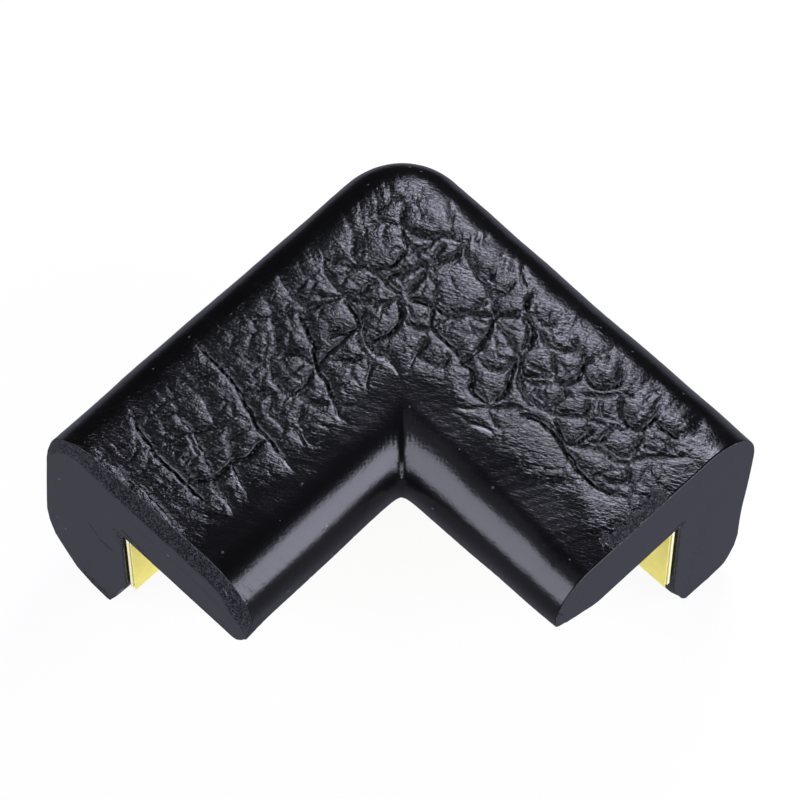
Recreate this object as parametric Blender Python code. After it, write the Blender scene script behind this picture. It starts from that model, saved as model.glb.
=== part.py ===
"""Furniture corner protector, made to be stuck over the corner of a table or shelf.

One foam moulding of L-shaped section turns a square corner: its flange lies on top of the furniture and
its leg hangs down the side. Each arm carries two adhesive strips, one on the leg's inner face and one
under the flange, and a release liner still covers each strip.

Metres, +Z up. The origin is the middle of the footprint, level with the bottom of the legs. The outer
corner points to -X +Y. The right arm runs from it along +X, and the left arm along -Y.
"""

import math

import bmesh
import bpy
from mathutils import Matrix, Vector

# Foam moulding
ARM_LENGTH = 0.060  # outer corner to either cut end
FLANGE_WIDTH = 0.0345
SECTION_HEIGHT = 0.034
FLANGE_THICKNESS = 0.0105
LEG_THICKNESS = 0.013
CORNER_RADIUS = 0.008  # outer corner, seen from above
TOP_EDGE_RADIUS = 0.006
FREE_EDGE_RADIUS = 0.0065  # the rolled edge along the inside of the corner
FREE_EDGE_LOWER_RADIUS = 0.0015
LEG_FOOT_RADIUS = 0.005  # outer edge of the leg's foot
LEG_TAPER_WIDTH = 0.003  # how much thinner the leg gets on its inner side
LEG_TAPER_HEIGHT = 0.008
LEFT_BEVEL_LENGTH = 0.00115  # slanted cut across the top of the left end, measured along the arm
LEFT_BEVEL_HEIGHT = 0.0028

# Main folds of the skin. Each point is (across, towards): its place across the corner's diagonal, and how
# far it lies towards the outer corner.
FOLD_DEPTH = 0.0005
FOLD_WIDTH = 0.0008
MAIN_FOLDS = (
    ((-0.0106, 0.0225), (-0.0075, 0.0212), (-0.0040, 0.0203), (-0.0025, 0.0190), (0.0002, 0.0166)),
    ((0.0005, 0.0258), (0.0033, 0.0246), (0.0070, 0.0244), (0.0090, 0.0242)),
    ((0.0068, 0.0226), (0.0050, 0.0213), (0.0025, 0.0205), (-0.0008, 0.0196)),
    ((0.0012, 0.0160), (0.0044, 0.0148), (0.0059, 0.0136), (0.0104, 0.0137), (0.0134, 0.0138)),
    ((-0.0068, 0.0162), (-0.0058, 0.0144), (-0.0053, 0.0136), (-0.0056, 0.0119), (-0.0080, 0.0110)),
    ((-0.0126, 0.0140), (-0.0106, 0.0096), (-0.0100, 0.0066), (-0.0082, 0.0024), (-0.0058, -0.0013)),
    ((-0.0042, 0.0107), (-0.0032, 0.0090), (-0.0019, 0.0080), (-0.0010, 0.0065)),
    ((0.0035, 0.0117), (0.0050, 0.0106), (0.0072, 0.0074), (0.0084, 0.0062), (0.0082, 0.0036)),
    ((0.0002, 0.0053), (0.0040, 0.0017), (0.0080, -0.0010), (0.0106, -0.0024)),
    ((0.0147, 0.0186), (0.0152, 0.0170), (0.0147, 0.0142), (0.0156, 0.0115), (0.0143, 0.0082)),
    ((-0.0234, 0.0090), (-0.0204, 0.0050), (-0.0176, 0.0000), (-0.0142, -0.0050), (-0.0120, -0.0080)),
    ((-0.0318, 0.0010), (-0.0300, -0.0034), (-0.0266, -0.0078), (-0.0228, -0.0114)),
    ((0.0140, -0.0002), (0.0164, -0.0009), (0.0189, -0.0038), (0.0206, -0.0068), (0.0252, -0.0110)),
    ((0.0252, 0.0082), (0.0261, 0.0062), (0.0256, 0.0040), (0.0233, 0.0039)),
    ((0.0259, 0.0026), (0.0258, 0.0004), (0.0268, -0.0014), (0.0286, -0.0018), (0.0298, -0.0002)),
    ((0.0196, -0.0041), (0.0222, -0.0042), (0.0244, -0.0054), (0.0262, -0.0063), (0.0310, -0.0055)),
)

# Adhesive strips and their liners
TAPE_THICKNESS = 0.0004
LINER_THICKNESS = 0.00015
LEG_TAPE_WIDTH = 0.014
FLANGE_TAPE_INSET = 0.0008  # from the leg's liner
FLANGE_TAPE_EDGE_INSET = 0.0025  # from the flange's free edge
RIGHT_TAPE_END_INSET = 0.0005
LEFT_TAPE_END_INSET = 0.0
ASSEMBLY_GAP = 0.0003  # between any two pieces that touch

# Smoothness of the rounds
CORNER_STEPS = 12
EDGE_STEPS = 6
LOWER_EDGE_STEPS = 3
SHARP_ANGLE = math.radians(35)

# How far a cutter runs past the faces that it cuts through
CUT_MARGIN = 0.005
FOLD_CUT_MARGIN = 0.0002
# Merging and matching distance
TOUCH = 0.00001
# Faces that meet at less than this angle count as one flat face
FLAT_ANGLE = math.radians(1)

# Colours and roughness
FOAM_COLOUR = (0.030, 0.030, 0.034, 1.0)
FOAM_ROUGHNESS = 0.6
TAPE_COLOUR = (0.78, 0.76, 0.66, 1.0)
TAPE_ROUGHNESS = 0.5
LINER_COLOUR = (0.72, 0.62, 0.17, 1.0)
LINER_ROUGHNESS = 0.45

# Values that follow from the sizes above
HALF_ARM = ARM_LENGTH / 2
FLANGE_UNDERSIDE = SECTION_HEIGHT - FLANGE_THICKNESS
STRIP_STACK = ASSEMBLY_GAP + TAPE_THICKNESS + ASSEMBLY_GAP + LINER_THICKNESS


def clear_scene():
    """Remove whatever objects the file opened with."""
    for thing in list(bpy.data.objects):
        bpy.data.objects.remove(thing, do_unlink=True)


def new_collection(name):
    """A collection linked to the scene."""
    collection = bpy.data.collections.new(name)
    bpy.context.scene.collection.children.link(collection)
    return collection


def new_material(name, colour, roughness):
    """A non-metallic Principled material."""
    material = bpy.data.materials.new(name)
    material.use_nodes = True
    shader = material.node_tree.nodes["Principled BSDF"]
    shader.inputs["Base Color"].default_value = colour
    shader.inputs["Roughness"].default_value = roughness
    shader.inputs["Metallic"].default_value = 0.0
    return material


def on_right_arm(along, inward):
    """Plan point on the right arm, from the distance along it and the distance in from its outer face."""
    return Vector((along - HALF_ARM, HALF_ARM - inward))


def on_left_arm(along, inward):
    """Plan point on the left arm, which is the right arm mirrored in the corner's diagonal."""
    return Vector((inward - HALF_ARM, HALF_ARM - along))


def chevron_outline():
    """Plan of the moulding: two arms that meet at a rounded outer corner and a sharp inner one."""
    points = [
        on_left_arm(ARM_LENGTH, 0.0),
        on_left_arm(ARM_LENGTH, FLANGE_WIDTH),
        on_left_arm(FLANGE_WIDTH, FLANGE_WIDTH),
        on_right_arm(ARM_LENGTH, FLANGE_WIDTH),
        on_right_arm(ARM_LENGTH, 0.0),
    ]
    centre = on_right_arm(CORNER_RADIUS, CORNER_RADIUS)
    for step in range(CORNER_STEPS + 1):
        angle = math.pi / 2 * (1 + step / CORNER_STEPS)
        points.append(centre + CORNER_RADIUS * Vector((math.cos(angle), math.sin(angle))))
    return points


def extruded_outline(name, outline, height, collection):
    """A solid of the given plan, standing on z = 0."""
    curve = bpy.data.curves.new(name, "CURVE")
    curve.dimensions = "2D"
    curve.fill_mode = "BOTH"
    curve.extrude = height / 2
    spline = curve.splines.new("POLY")
    spline.points.add(len(outline) - 1)
    for control, point in zip(spline.points, outline):
        control.co = (point.x, point.y, 0.0, 1.0)
    spline.use_cyclic_u = True
    drawn = bpy.data.objects.new(name, curve)
    drawn.location.z = height / 2
    collection.objects.link(drawn)
    return solid_from_curve(drawn, collection)


def solid_from_curve(drawn, collection):
    """Replace a curve object by a mesh object of the same shape, with its caps welded on."""
    bpy.context.view_layer.update()
    evaluated = drawn.evaluated_get(bpy.context.evaluated_depsgraph_get())
    mesh = bpy.data.meshes.new_from_object(evaluated)
    placement = drawn.matrix_world.copy()
    name = drawn.name
    bpy.data.objects.remove(drawn, do_unlink=True)
    work = bmesh.new()
    work.from_mesh(mesh)
    bmesh.ops.remove_doubles(work, verts=work.verts, dist=TOUCH)
    bmesh.ops.dissolve_limit(work, angle_limit=FLAT_ANGLE, verts=work.verts, edges=work.edges)
    bmesh.ops.recalc_face_normals(work, faces=work.faces)
    work.to_mesh(mesh)
    work.free()
    solid = bpy.data.objects.new(name, mesh)
    solid.matrix_world = placement
    collection.objects.link(solid)
    return solid


def box(name, low, high, collection):
    """A box between two corners, placed by its centre."""
    low, high = Vector(low), Vector(high)
    size = high - low
    mesh = bpy.data.meshes.new(name)
    work = bmesh.new()
    bmesh.ops.create_cube(work, size=1.0, matrix=Matrix.Diagonal((size.x, size.y, size.z, 1.0)))
    work.to_mesh(mesh)
    work.free()
    piece = bpy.data.objects.new(name, mesh)
    piece.location = (low + high) / 2
    collection.objects.link(piece)
    return piece


def arm_box(name, place, along, inward, heights, collection):
    """A box on one arm, from its spans along the arm, in from the outer face and in height."""
    first = place(along[0], inward[0])
    last = place(along[1], inward[1])
    low = (min(first.x, last.x), min(first.y, last.y), heights[0])
    high = (max(first.x, last.x), max(first.y, last.y), heights[1])
    return box(name, low, high, collection)


def as_cutter(piece):
    """Show a cutter as a wire outline only."""
    piece.hide_render = True
    piece.display_type = "WIRE"
    return piece


def rebate_cutter(collection):
    """The square corner of furniture that the moulding wraps: it leaves the flange and the two legs."""
    inner = on_right_arm(LEG_THICKNESS, LEG_THICKNESS)
    reach = HALF_ARM + CUT_MARGIN
    return as_cutter(box(
        "rebate_cutter",
        (inner.x, -reach, -CUT_MARGIN),
        (reach, inner.y, FLANGE_UNDERSIDE),
        collection,
    ))


def taper_cutter(collection):
    """A box that flares towards the feet of the legs, so that each leg thins on its inner side."""
    inner = on_right_arm(LEG_THICKNESS, LEG_THICKNESS)
    reach = HALF_ARM + CUT_MARGIN
    cutter = box(
        "taper_cutter",
        (inner.x, -reach, -CUT_MARGIN),
        (reach, inner.y, LEG_TAPER_HEIGHT),
        collection,
    )
    flare = LEG_TAPER_WIDTH * (LEG_TAPER_HEIGHT + CUT_MARGIN) / LEG_TAPER_HEIGHT
    for vertex in cutter.data.vertices:
        if vertex.co.z < 0 and vertex.co.x < 0:
            vertex.co.x -= flare
        if vertex.co.z < 0 and vertex.co.y > 0:
            vertex.co.y += flare
    return as_cutter(cutter)


def left_bevel_cutter(collection):
    """A wedge that takes the slanted cut off the top of the left end."""
    slope = LEFT_BEVEL_LENGTH / LEFT_BEVEL_HEIGHT
    top = (CUT_MARGIN * slope + LEFT_BEVEL_LENGTH - HALF_ARM, SECTION_HEIGHT + CUT_MARGIN)
    low = (-CUT_MARGIN * slope - HALF_ARM, SECTION_HEIGHT - LEFT_BEVEL_HEIGHT - CUT_MARGIN)
    outside = (-CUT_MARGIN - HALF_ARM, SECTION_HEIGHT + CUT_MARGIN)
    ends = (-HALF_ARM - CUT_MARGIN, FLANGE_WIDTH - HALF_ARM + CUT_MARGIN)
    corners = [Vector((x, y, z)) for x in ends for y, z in (top, low, outside)]
    return as_cutter(swept_triangle("left_bevel_cutter", corners, collection))


def swept_triangle(name, corners, collection):
    """A closed solid through a run of triangles, given as three corners each."""
    mesh = bpy.data.meshes.new(name)
    work = bmesh.new()
    rings = [[work.verts.new(corner) for corner in corners[i:i + 3]] for i in range(0, len(corners), 3)]
    for ring, following in zip(rings, rings[1:]):
        for side in range(3):
            ahead = (side + 1) % 3
            work.faces.new((ring[side], ring[ahead], following[ahead], following[side]))
    work.faces.new(rings[0])
    work.faces.new(rings[-1])
    bmesh.ops.recalc_face_normals(work, faces=work.faces)
    bmesh.ops.triangulate(work, faces=work.faces)
    work.to_mesh(mesh)
    work.free()
    piece = bpy.data.objects.new(name, mesh)
    collection.objects.link(piece)
    return piece


def fold_cutter(name, fold, collection):
    """A V-shaped groove along one fold of the skin. Its width at the top surface is the fold's width."""
    points = [Vector((a - t, a + t)) / math.sqrt(2) for a, t in fold]
    half = FOLD_WIDTH / 2 * (FOLD_DEPTH + FOLD_CUT_MARGIN) / FOLD_DEPTH
    corners = []
    for index, point in enumerate(points):
        heading = points[min(index + 1, len(points) - 1)] - points[max(index - 1, 0)]
        across = Vector((-heading.y, heading.x)).normalized() * half
        upper = SECTION_HEIGHT + FOLD_CUT_MARGIN
        corners.append(Vector((*(point + across), upper)))
        corners.append(Vector((*(point - across), upper)))
        corners.append(Vector((*point, SECTION_HEIGHT - FOLD_DEPTH)))
    return as_cutter(swept_triangle(name, corners, collection))


def cut(piece, cutters):
    """Take the cutters out of a piece and keep the result as its mesh, in world coordinates."""
    for cutter in cutters:
        modifier = piece.modifiers.new(cutter.name, "BOOLEAN")
        modifier.operation = "DIFFERENCE"
        modifier.solver = "EXACT"
        modifier.object = cutter
    bpy.context.view_layer.update()
    evaluated = piece.evaluated_get(bpy.context.evaluated_depsgraph_get())
    mesh = bpy.data.meshes.new_from_object(evaluated)
    mesh.transform(piece.matrix_world)
    piece.modifiers.clear()
    piece.data = mesh
    piece.matrix_world = Matrix.Identity(4)


def is_outer_wall(face):
    """A wall on the outside of the corner faces -X, +Y or between the two."""
    return abs(face.normal.z) < TOUCH and face.normal.y - face.normal.x > TOUCH


def is_free_wall(face):
    """The flange's free walls face the inside of the corner."""
    free = on_right_arm(FLANGE_WIDTH, FLANGE_WIDTH)
    middle = face.calc_center_median()
    faces_x = face.normal.x > 1 - TOUCH and abs(middle.x - free.x) < TOUCH
    faces_y = face.normal.y < TOUCH - 1 and abs(middle.y - free.y) < TOUCH
    return faces_x or faces_y


def round_edges(piece, is_wall, height, radius, steps):
    """Round the edges that run level at one height along the chosen walls."""
    work = bmesh.new()
    work.from_mesh(piece.data)
    level = [
        edge
        for edge in work.edges
        if all(abs(corner.co.z - height) < TOUCH for corner in edge.verts)
        and any(is_wall(face) for face in edge.link_faces)
    ]
    bmesh.ops.bevel(
        work, geom=level, offset=radius, offset_type="OFFSET", segments=steps,
        profile=0.5, affect="EDGES", clamp_overlap=True,
    )
    work.to_mesh(piece.data)
    work.free()


def shade_rounds(piece):
    """Shade the rounds smooth and keep the real edges sharp."""
    piece.data.shade_smooth()
    piece.data.set_sharp_from_angle(angle=SHARP_ANGLE)


def make_foam_body(parts, cutters, material):
    """The moulding: a chevron block with the furniture's corner cut out of it, then its edges rounded."""
    body = extruded_outline("foam_body", chevron_outline(), SECTION_HEIGHT, parts)
    cut(body, [rebate_cutter(cutters), taper_cutter(cutters)])
    round_edges(body, is_outer_wall, SECTION_HEIGHT, TOP_EDGE_RADIUS, EDGE_STEPS)
    round_edges(body, is_outer_wall, 0.0, LEG_FOOT_RADIUS, EDGE_STEPS)
    round_edges(body, is_free_wall, SECTION_HEIGHT, FREE_EDGE_RADIUS, EDGE_STEPS)
    round_edges(body, is_free_wall, FLANGE_UNDERSIDE, FREE_EDGE_LOWER_RADIUS, LOWER_EDGE_STEPS)
    cut(body, [left_bevel_cutter(cutters)])
    cut(body, [fold_cutter(f"fold_cutter_{n}", fold, cutters) for n, fold in enumerate(MAIN_FOLDS, 1)])
    body.data.materials.clear()
    body.data.materials.append(material)
    shade_rounds(body)
    return body


def make_leg_strip(side, place, start, end, parts, materials):
    """Tape and liner on the inner face of one leg, hanging from just below the flange's liner."""
    top = FLANGE_UNDERSIDE - STRIP_STACK - ASSEMBLY_GAP
    heights = (top - LEG_TAPE_WIDTH, top)
    tape_face = LEG_THICKNESS + ASSEMBLY_GAP
    tape_depth = (tape_face, tape_face + TAPE_THICKNESS)
    liner_face = tape_depth[1] + ASSEMBLY_GAP
    liner_depth = (liner_face, liner_face + LINER_THICKNESS)
    tape = arm_box(f"leg_tape_{side}", place, (start, end), tape_depth, heights, parts)
    liner = arm_box(f"leg_liner_{side}", place, (start, end), liner_depth, heights, parts)
    tape.data.materials.append(materials["tape"])
    liner.data.materials.append(materials["liner"])


def make_flange_strip(side, place, start, end, parts, materials):
    """Tape and liner under one arm's flange, from the leg's liner to the free edge."""
    inward = (LEG_THICKNESS + STRIP_STACK + FLANGE_TAPE_INSET, FLANGE_WIDTH - FLANGE_TAPE_EDGE_INSET)
    tape_top = FLANGE_UNDERSIDE - ASSEMBLY_GAP
    tape_heights = (tape_top - TAPE_THICKNESS, tape_top)
    liner_top = tape_heights[0] - ASSEMBLY_GAP
    liner_heights = (liner_top - LINER_THICKNESS, liner_top)
    tape = arm_box(f"flange_tape_{side}", place, (start, end), inward, tape_heights, parts)
    liner = arm_box(f"flange_liner_{side}", place, (start, end), inward, liner_heights, parts)
    tape.data.materials.append(materials["tape"])
    liner.data.materials.append(materials["liner"])


def make_strips(parts, materials):
    """Four strips. The leg strips stop short of each other, and the right flange strip turns the corner."""
    right_end = ARM_LENGTH - RIGHT_TAPE_END_INSET
    left_end = ARM_LENGTH - LEFT_TAPE_END_INSET
    leg_start = LEG_THICKNESS + STRIP_STACK + ASSEMBLY_GAP
    make_leg_strip("left", on_left_arm, leg_start, left_end, parts, materials)
    make_leg_strip("right", on_right_arm, leg_start, right_end, parts, materials)
    right_flange_start = LEG_THICKNESS + STRIP_STACK + FLANGE_TAPE_INSET
    left_flange_start = FLANGE_WIDTH - FLANGE_TAPE_EDGE_INSET + ASSEMBLY_GAP
    make_flange_strip("right", on_right_arm, right_flange_start, right_end, parts, materials)
    make_flange_strip("left", on_left_arm, left_flange_start, left_end, parts, materials)


def main():
    """Build the corner protector."""
    clear_scene()
    parts = new_collection("furniture_corner_protector")
    cutters = new_collection("cutters")
    materials = {
        "foam": new_material("black_foam", FOAM_COLOUR, FOAM_ROUGHNESS),
        "tape": new_material("adhesive_tape", TAPE_COLOUR, TAPE_ROUGHNESS),
        "liner": new_material("yellow_release_paper", LINER_COLOUR, LINER_ROUGHNESS),
    }
    make_foam_body(parts, cutters, materials["foam"])
    make_strips(parts, materials)


main()
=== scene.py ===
"""Looks of the furniture corner protector: the creased, skinned foam moulding and its yellow liners.

Lengths are in millimetres until a mesh is made, and in metres in the materials. A point of the moulding is
given by u, its distance in from the arm's outer face, by z, its height, and by its distance along the arm
from the corner's diagonal. On the plan of the top, p runs across the picture and q runs up it, so the
outer corner is at the far end of q. The inner corner is the one that the two free edges make.
"""

import math

import bpy
import numpy as np
from mathutils import Matrix, Vector


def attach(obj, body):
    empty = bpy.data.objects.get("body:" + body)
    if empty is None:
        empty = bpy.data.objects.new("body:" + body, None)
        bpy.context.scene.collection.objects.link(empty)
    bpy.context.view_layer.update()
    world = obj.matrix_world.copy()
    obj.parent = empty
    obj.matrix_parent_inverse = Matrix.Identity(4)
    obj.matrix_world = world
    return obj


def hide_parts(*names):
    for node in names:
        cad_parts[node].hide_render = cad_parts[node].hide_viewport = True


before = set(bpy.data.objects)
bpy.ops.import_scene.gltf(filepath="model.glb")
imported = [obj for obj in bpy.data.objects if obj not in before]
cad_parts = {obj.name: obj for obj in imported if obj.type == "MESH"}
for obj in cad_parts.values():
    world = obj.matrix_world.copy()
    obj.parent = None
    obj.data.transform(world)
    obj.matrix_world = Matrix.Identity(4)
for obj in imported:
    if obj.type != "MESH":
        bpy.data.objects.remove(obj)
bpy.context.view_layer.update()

MM = 0.001
ROOT_HALF = math.sqrt(0.5)

# The moulding's main sizes
HALF_ARM = 30.0
CORNER_RADIUS = 9.5
INNER_FILLET, FILLET_INSET = 0.9, (26.0, 34.0)
LEFT_LENGTH = 60.6
RIGHT_LENGTH = 60.0

# Mesh resolution: columns along each arm, rows across the top, rings down the bevel, and shares of the way
# from a cut face's rim to its middle
HALF_COLUMNS = 206
TOP_ROWS = 124
BEVEL_RINGS = 10
FACE_STEPS = (0.012, 0.05, 0.14, 0.3, 0.52, 0.76, 0.93)
RIM_INSET = 0.12
RIM_LENGTH = 0.1

# Section corners: distance in, height and radius. Each has a count of points on the round and on the
# side that follows.
SECTION_COUNTS = ((16, TOP_ROWS), (20, 3), (3, 3), (4, 6), (3, 6), (3, 3), (3, 3), (7, 8))
MID_SECTION = (
    (-0.1, 34.1, 8.0), (34.5, 34.1, 6.5), (34.4, 25.9, 1.0), (30.0, 23.5, 3.0),
    (13.0, 23.5, 0.3), (13.0, 8.0, 1.5), (10.0, 0.0, 0.6), (0.1, 0.0, 5.0),
)
LEFT_SECTION = (
    (1.0, 33.8, 8.0), (34.6, 34.3, 6.8), (34.9, 25.0, 1.0), (32.8, 22.2, 1.2),
    (13.0, 22.2, 0.3), (13.0, 8.0, 1.5), (9.6, -0.8, 1.0), (-1.9, -0.8, 10.0),
)
RIGHT_SECTION = (
    (-0.5, 34.1, 9.0), (34.8, 33.8, 5.5), (34.5, 26.8, 1.0), (27.6, 23.3, 4.0),
    (12.9, 23.3, 0.3), (12.8, 4.5, 1.5), (10.4, 0.0, 0.6), (1.9, 0.0, 3.2),
)
TOP_BULGE = 0.1

# The flange's underside keeps its height up to this far from a cut end, where the cut drags it down
LIP_LENGTH = 0.55
UNDERSIDE_START, UNDERSIDE_TOP = 13.2, 25.0

# The left end's bevel of torn foam: its width, its heights and distances in, how narrow it starts, and how
# far the skin stops short of the cut
BEVEL_WIDTH = 2.7
BEVEL_HEIGHTS = (25.5, 28.0)
BEVEL_INSET = (-3.0, 1.5)
BEVEL_NARROW, BEVEL_GROWTH, BEVEL_WIDE_AT = 0.55, 0.45, 14.0
BEVEL_SETBACK = 1.15
BEVEL_ROUGHNESS = (-0.16, 0.1)

# The foam's own slack: how far its faces stray, over what length, and where the strips need them flat
SLACK_HEIGHT, SLACK_SIZE = 0.12, 9.0
FLAT_INSET, FLAT_TOP = (12.0, 33.0), 24.5
STREAK_HEIGHT, STREAK_SIZE = 0.012, 1.2

# Frayed feet at the cut ends: height, reach and size of the fray, and the height below which it grows
FRAY_HEIGHT, FRAY_REACH, FRAY_SIZE = 0.3, 0.4, 1.3
FRAY_TOP, FRAY_EASE = 12.0, 8.0

# The line down the middle of the foam that the cut faces close on: the flange's height and the leg's inset
FLANGE_MIDDLE, LEG_MIDDLE = 28.6, 6.0
FLANGE_REACH, LEG_FOOT = 30.0, 4.5

# The torn patch on top of the right arm's end: two points (p, q) on its middle line, its sizes and its edge
PATCH_START, PATCH_END = (24.6, -17.0), (29.6, -11.6)
PATCH_HALF_WIDTH = 1.3
PATCH_DEPTH, PATCH_PIT_SIZE = 0.12, 0.4
PATCH_RAGGED, PATCH_RAGGED_SIZE = 0.8, 0.9
PATCH_EDGE, PATCH_LOW = (0.1, 0.5), 31.0

# The plan that the creases are drawn on
PLAN_P = (-45.0, 45.0)
PLAN_Q = (-36.0, 45.0)
PLAN_STEP = 0.1

# Folds of the skin: depth, width, then points (p, q) along the fold, read off the photo
DEEP, FIRM, SOFT, FAINT = (0.3, 0.18), (0.21, 0.165), (0.13, 0.15), (0.07, 0.14)
CENTRE_FOLDS = (
    (DEEP, (-11.5, 23.2), (-10.3, 22.3), (-7.5, 21.2), (-6, 20.6), (-4, 20.3), (-2.5, 19), (-0.6, 17.3),
     (0.2, 16.6)),
    (FIRM, (0, 30), (0.2, 28), (0.1, 27), (0.2, 26.2), (0.2, 24.6), (0.8, 22.7)),
    (FIRM, (-4.8, 28), (-3.5, 28.6), (-2.2, 29.5), (-1, 30), (0.2, 29.2)),
    (FIRM, (0.2, 29.3), (1.2, 29.9), (2, 30.4), (3.1, 31.6)),
    (SOFT, (-0.7, 31.2), (0.6, 31.4), (2, 31.3), (2.8, 31.8)),
    (SOFT, (-2, 32.2), (-1.6, 31.2), (-1, 30.9), (-0.6, 30.2)),
    (SOFT, (-4, 26.6), (-2.6, 26.5), (-1.8, 26.3), (0.6, 26)),
    (DEEP, (0.5, 25.8), (1.2, 25.1), (3.3, 24.6), (4.8, 25), (7, 24.4), (8.5, 24.3), (11.2, 24)),
    (FIRM, (6, 29.8), (5.8, 29.2), (6.2, 28.5), (5.9, 26.5), (4.8, 25)),
    (SOFT, (6.2, 28.5), (6.6, 27.8), (6.9, 26.8), (7.5, 26.2)),
    (FIRM, (-6.2, 25.3), (-5.6, 24), (-5.8, 22), (-4.8, 20.6)),
    (DEEP, (0.8, 22.7), (-0.5, 21.3), (-1.2, 20.7), (-2.6, 20.3), (-4, 20.3)),
    (FIRM, (1, 23), (1.6, 22.2), (2, 21.2)),
    (FIRM, (4.2, 24.4), (3.2, 23.6), (1.6, 22.2), (0.9, 21.4)),
    (FIRM, (5.2, 23.9), (4.7, 23), (4.2, 22), (3, 20.3)),
    (DEEP, (7.1, 24.2), (6.8, 22.6), (5, 21.3), (2.5, 20.5), (-0.4, 19.7), (-2, 18.5)),
    (DEEP, (3.1, 20.4), (2.3, 18.6), (0.8, 17.1), (0.2, 16.6)),
    (FIRM, (7.2, 24.2), (8, 22), (8.7, 19.5), (10, 18.1), (10.6, 16.3), (11, 15.5)),
    (SOFT, (-9.6, 22.2), (-9.4, 20), (-8.3, 18), (-6.8, 16.4)),
    (FAINT, (-10.2, 19.6), (-9.2, 18.2), (-8, 17.2), (-7.2, 16.2)),
    (FIRM, (-15, 20), (-14, 17.8), (-12, 15.2), (-10.8, 14.9), (-8.2, 15.8), (-7, 16.2)),
    (FIRM, (-10.4, 16.2), (-6.8, 16.4), (-4.6, 17.5), (-2.2, 18.5)),
    (DEEP, (-6.8, 16.2), (-5.8, 14.4), (-5.3, 13.6), (-5.6, 11.9), (-8, 11), (-9.3, 10.6)),
    (FIRM, (-6.4, 15.7), (-4.2, 15.5), (-3.2, 15), (-1.4, 15.6), (0.2, 16.5)),
    (DEEP, (0.2, 16.5), (-0.4, 15.6), (-0.1, 13.4), (-1, 11.6), (-3.2, 10.5), (-4.2, 10.8)),
    (FIRM, (-4.6, 15), (-4.8, 12.2), (-4, 10.6), (-2.9, 9)),
    (DEEP, (0.4, 16.2), (2.6, 15.5), (4.4, 14.8), (5.9, 13.6), (8, 13.9), (10.4, 13.7), (13.2, 13.7),
     (14.4, 14.2)),
    (FIRM, (5.2, 14.2), (7.8, 14.2), (9.6, 15.4), (10.3, 16)),
    (FIRM, (4, 17), (4, 15.3), (3.7, 13.2), (3, 11.8), (1.2, 12.1), (0.4, 12.6)),
    (SOFT, (3.4, 19.6), (3.3, 18.6), (4, 17.8), (4, 17)),
    (FIRM, (10.4, 16.2), (12.6, 17.2), (13.6, 19), (13, 20.3), (11.4, 20), (10.3, 18.2)),
    (SOFT, (12.3, 22.6), (12.1, 21.5), (12.2, 20.5)),
    (DEEP, (14.3, 21), (14.8, 19), (15.2, 17), (15, 15), (14.6, 14.2)),
    (DEEP, (11, 15.6), (11.1, 13.7), (10.3, 11.4), (9, 9.2), (8.6, 8.5)),
    (FIRM, (3.6, 12.2), (4.4, 12.8), (5.9, 13.6)),
    (DEEP, (3.5, 11.7), (5, 10.6), (6.4, 9), (7.2, 7.4)),
    (SOFT, (8, 13.8), (9, 12.8), (10.5, 12.1)),
    (FIRM, (11, 13), (12.3, 11), (13.3, 9), (13.9, 8)),
    (FIRM, (14.9, 14), (15, 11.5), (14.5, 9.3), (14.2, 8.4)),
    (DEEP, (3.1, 11.2), (2.3, 9.3), (1.3, 7.2), (0.4, 5.2)),
    (FIRM, (3.6, 11), (2.4, 8.8), (2.1, 7.8), (3.8, 7), (4.8, 7), (6, 8.3)),
    (DEEP, (-4.2, 10.7), (-3.2, 9), (-1.9, 8), (-1, 6.5), (0.2, 5.1)),
    (FIRM, (-4, 8.4), (-3.9, 6.6), (-4.2, 4.4), (-4.3, 2.6)),
    (FIRM, (-5.4, 11.4), (-4.7, 9.2), (-4.2, 8.3)),
    (FIRM, (-8.2, 7.2), (-6, 7.3), (-4.2, 8.2)),
    (FIRM, (-5.9, 11.6), (-7.6, 9.9), (-9, 8.3), (-10.2, 7)),
    (DEEP, (-12.6, 14), (-11.2, 11.8), (-10.6, 9.6), (-10, 6.6), (-8.9, 4.6), (-8.2, 2.4), (-7.4, 0),
     (-5.8, -1.3)),
    (SOFT, (-11.3, 11.6), (-11.1, 10.4), (-10.9, 9), (-10.3, 7.8)),
    (FIRM, (-10.1, 6.6), (-11.2, 4.9), (-12.4, 3.3), (-14.2, 3.2)),
    (FIRM, (-12.3, 3.2), (-11.6, 1.8), (-9.2, 1.6), (-8.2, 1.5)),
    (FIRM, (-15.6, 7.8), (-15, 5.6), (-14.4, 3.6), (-12.6, 3.3)),
    (DEEP, (-15.6, 8.2), (-14.4, 8.6), (-12, 8), (-10.5, 6.8)),
    (SOFT, (-4.3, 2.5), (-5, 1.9), (-6.4, 1), (-7.4, 0.6)),
    (SOFT, (-4.2, 3.5), (-2.4, 4.3), (0, 5.3)),
    (DEEP, (0.2, 5.3), (2, 3.5), (4, 1.7), (5.8, 0.5), (8, -1.0), (10.6, -2.4)),
    (DEEP, (8.6, 8.4), (7.2, 7.2), (8.4, 6.2), (8.2, 3.6), (9.3, 2.2), (10, 1.4)),
    (FIRM, (9, 7.9), (10.8, 6.4), (12, 6.1), (13.8, 8)),
    (DEEP, (13.8, 8), (12.8, 5), (12.2, 3.2), (10.4, 1.8)),
    (FIRM, (5.2, 0.9), (8, 0.9), (12.4, 1.1), (14, 1)),
    (SOFT, (10, 1.2), (10.2, 0), (10.8, -2)),
    (FIRM, (13.9, 8), (14.2, 5.4), (14.6, 2.4), (16, 0.8)),
)
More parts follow.
